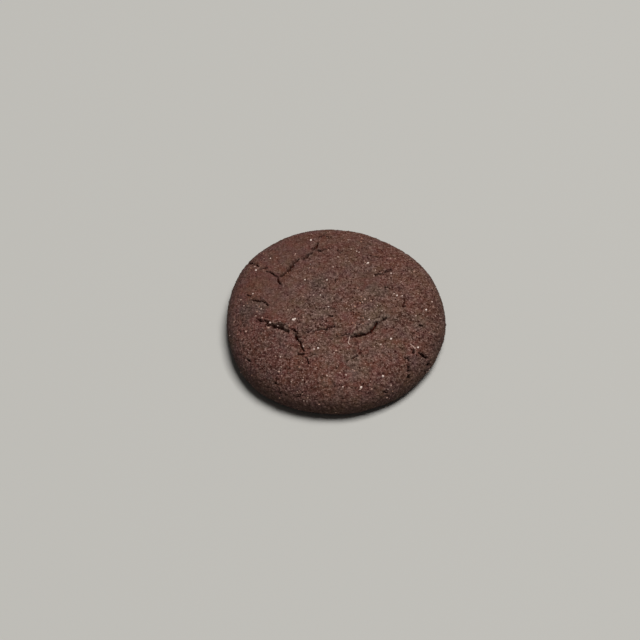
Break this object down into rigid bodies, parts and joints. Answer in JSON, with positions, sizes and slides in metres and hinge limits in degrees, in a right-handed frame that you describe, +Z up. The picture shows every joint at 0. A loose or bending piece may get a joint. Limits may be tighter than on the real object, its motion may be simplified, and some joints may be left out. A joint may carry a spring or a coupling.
{
  "type": "kurabiye cookie",
  "caption": "Thick round cocoa biscuit with an uneven domed top, branching bake cracks, a rounded edge and a flat baked underside to rest on.",
  "frame": {"origin": "middle of the cookie's box at the flat underside", "axes": "+Z up out of the domed top, +Y to the back along the longer side, +X to the right"},
  "size_m": [0.0788, 0.0848, 0.0148],
  "materials": {
    "cocoa_crust": "dry matt baked crust, sandy grain, reddish at the edge and greyer on top",
    "sugar": "small clear sugar crystals baked into the crust"
  },
  "bodies": {
    "root": {"cookie": "cocoa_crust"}
  },
  "joints": []
}
